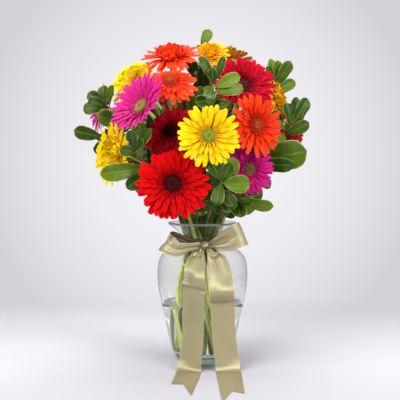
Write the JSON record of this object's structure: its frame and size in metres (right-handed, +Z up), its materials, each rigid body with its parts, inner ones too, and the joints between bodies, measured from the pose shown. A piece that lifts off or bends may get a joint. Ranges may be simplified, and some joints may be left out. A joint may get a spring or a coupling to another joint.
{
  "type": "vase of gerbera daisies",
  "caption": "Round bouquet of many-coloured gerberas and leafy sprigs in a flared clear glass vase, tied at the neck with a satin bow whose tails reach the table.",
  "frame": {"origin": "middle of the vase's foot, on the table", "axes": "+Z up along the vase; the front of the bouquet, with the bow, faces -Y"},
  "size_m": [0.3414, 0.3461, 0.4901],
  "materials": {
    "glass": "clear polished glass, faintly green in its thick foot",
    "water": "clear still water",
    "ribbon_satin": "olive beige satin with a soft sheen",
    "stem_green": "fresh green stems with fine hairs",
    "leaf_green": "leathery dark green leaves with paler edges",
    "petal_red": "matt velvety petals",
    "petal_yellow": "matt velvety petals",
    "petal_pink": "matt velvety petals",
    "petal_magenta": "matt velvety petals",
    "petal_orange": "matt velvety petals",
    "petal_burgundy": "matt velvety petals",
    "petal_crimson": "matt velvety petals",
    "petal_amber": "matt velvety petals"
  },
  "bodies": {
    "root": {"bloom_amber_back": "petal_amber", "bloom_amber_right": "petal_amber", "bloom_amber_top": "petal_amber", "bloom_burgundy": "petal_burgundy", "bloom_crimson_upper_right": "petal_crimson", "bloom_magenta_far_right": "petal_magenta", "bloom_magenta_lower_right": "petal_magenta", "bloom_orange_back": "petal_orange", "bloom_orange_far_right": "petal_orange", "bloom_orange_right": "petal_orange", "bloom_orange_top": "petal_orange", "bloom_orange_upper": "petal_orange", "bloom_pink_back": "petal_pink", "bloom_pink_far_left": "petal_pink", "bloom_pink_left": "petal_pink", "bloom_red_back": "petal_red", "bloom_red_front": "petal_red", "bloom_yellow_back": "petal_yellow", "bloom_yellow_centre": "petal_yellow", "bloom_yellow_lower_left": "petal_yellow", "bloom_yellow_upper_left": "petal_yellow", "branch_back_left": "leaf_green", "branch_back_right": "leaf_green", "branch_centre_top": "leaf_green", "branch_front": "leaf_green", "branch_left": "leaf_green", "branch_left_front": "leaf_green", "branch_left_top": "leaf_green", "branch_right": "leaf_green", "branch_right_low": "leaf_green", "branch_right_top": "leaf_green", "branch_top": "leaf_green", "ribbon_knot": "ribbon_satin", "ribbon_loop_left": "ribbon_satin", "ribbon_loop_right": "ribbon_satin", "ribbon_tail_left": "ribbon_satin", "ribbon_tail_right": "ribbon_satin", "stem_amber_back": "stem_green", "stem_amber_right": "stem_green", "stem_amber_top": "stem_green", "stem_burgundy": "stem_green", "stem_crimson_upper_right": "stem_green", "stem_magenta_far_right": "stem_green", "stem_magenta_lower_right": "stem_green", "stem_orange_back": "stem_green", "stem_orange_far_right": "stem_green", "stem_orange_right": "stem_green", "stem_orange_top": "stem_green", "stem_orange_upper": "stem_green", "stem_pink_back": "stem_green", "stem_pink_far_left": "stem_green", "stem_pink_left": "stem_green", "stem_red_back": "stem_green", "stem_red_front": "stem_green", "stem_yellow_back": "stem_green", "stem_yellow_centre": "stem_green", "stem_yellow_lower_left": "stem_green", "stem_yellow_upper_left": "stem_green", "vase": "glass", "water": "water"}
  },
  "joints": []
}
